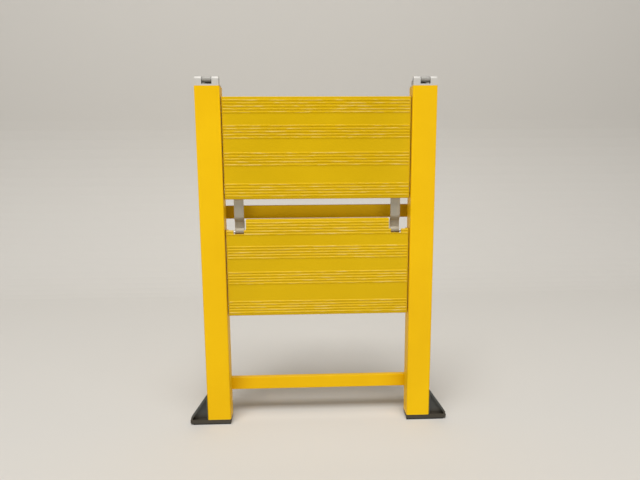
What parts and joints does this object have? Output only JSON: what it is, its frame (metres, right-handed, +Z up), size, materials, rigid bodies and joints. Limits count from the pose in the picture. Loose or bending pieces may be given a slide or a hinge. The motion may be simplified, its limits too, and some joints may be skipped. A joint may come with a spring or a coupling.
{
  "type": "folding sawhorse",
  "caption": "Folding A-frame trestle with a ribbed platform and a lower step on link straps, shown folded flat.",
  "frame": {"origin": "floor level, under the middle of the folded frame", "axes": "+Z up along the legs, +Y from the front legs to the rear legs, +X to the right seen from the front"},
  "size_m": [0.67, 0.07, 0.875],
  "materials": {
    "powder_coat": "semi-gloss yellow powder coat",
    "cast_hinge": "tumbled die casting, satin",
    "bare_strap": "mill finish flat bar",
    "zinc_fastener": "bright zinc plate",
    "moulded_foot": "dark grey moulded nylon",
    "rubber_sole": "matt moulded rubber"
  },
  "bodies": {
    "front_frame": {"front_leg_left": "powder_coat", "front_leg_right": "powder_coat", "front_cap_left": "cast_hinge", "front_cap_right": "cast_hinge", "hinge_pins": "zinc_fastener", "front_foot_left": "moulded_foot", "front_foot_right": "moulded_foot", "front_sole_left": "rubber_sole", "front_sole_right": "rubber_sole", "crush_sleeves": "zinc_fastener", "pivot_bolts": "zinc_fastener", "pivot_washers": "zinc_fastener", "pivot_nuts": "zinc_fastener", "front_rivets": "zinc_fastener"},
    "platform": {"platform_tread": "powder_coat", "platform_end_left": "powder_coat", "platform_end_right": "powder_coat", "platform_bracket_left": "powder_coat", "platform_bracket_right": "powder_coat", "platform_strap_pins": "zinc_fastener", "platform_saddle_left": "moulded_foot", "platform_saddle_right": "moulded_foot", "saddle_rivets": "zinc_fastener"},
    "lower_step": {"step_tread": "powder_coat", "step_end_left": "powder_coat", "step_end_right": "powder_coat", "step_bracket_left": "powder_coat", "step_bracket_right": "powder_coat", "step_strap_pins": "zinc_fastener"},
    "link_strap_left": {"strap_left": "bare_strap"},
    "link_strap_right": {"strap_right": "bare_strap"},
    "rear_frame": {"rear_leg_left": "powder_coat", "rear_leg_right": "powder_coat", "rear_cap_left": "cast_hinge", "rear_cap_right": "cast_hinge", "upper_crossbar": "powder_coat", "lower_crossbar": "powder_coat", "rear_foot_left": "moulded_foot", "rear_foot_right": "moulded_foot", "rear_sole_left": "rubber_sole", "rear_sole_right": "rubber_sole", "rear_rivets": "zinc_fastener"}
  },
  "joints": [
    {"name": "rear_frame_hinge", "type": "hinge", "parent": "front_frame", "child": "rear_frame", "pos_m": [0, -0.028, 0.868], "axis": [1, 0, 0], "range_deg": [0, 36]},
    {"name": "platform_pivot", "type": "hinge", "parent": "front_frame", "child": "platform", "pos_m": [0, -0.013, 0.6035], "axis": [1, 0, 0], "range_deg": [-72, 0]},
    {"name": "step_pivot", "type": "hinge", "parent": "front_frame", "child": "lower_step", "pos_m": [0, -0.013, 0.3085], "axis": [1, 0, 0], "range_deg": [-72, 0]},
    {"name": "strap_pivot_left", "type": "hinge", "parent": "platform", "child": "link_strap_left", "pos_m": [-0.196, -0.002, 0.795], "axis": [1, 0, 0], "range_deg": [0, 72]},
    {"name": "strap_pivot_right", "type": "hinge", "parent": "platform", "child": "link_strap_right", "pos_m": [0.196, -0.002, 0.795], "axis": [1, 0, 0], "range_deg": [0, 72]}
  ],
  "couplings": [
    {"joint": "platform_pivot", "follows": "rear_frame_hinge", "ratio": -2},
    {"joint": "step_pivot", "follows": "rear_frame_hinge", "ratio": -2},
    {"joint": "strap_pivot_left", "follows": "rear_frame_hinge", "ratio": 2},
    {"joint": "strap_pivot_right", "follows": "rear_frame_hinge", "ratio": 2}
  ]
}
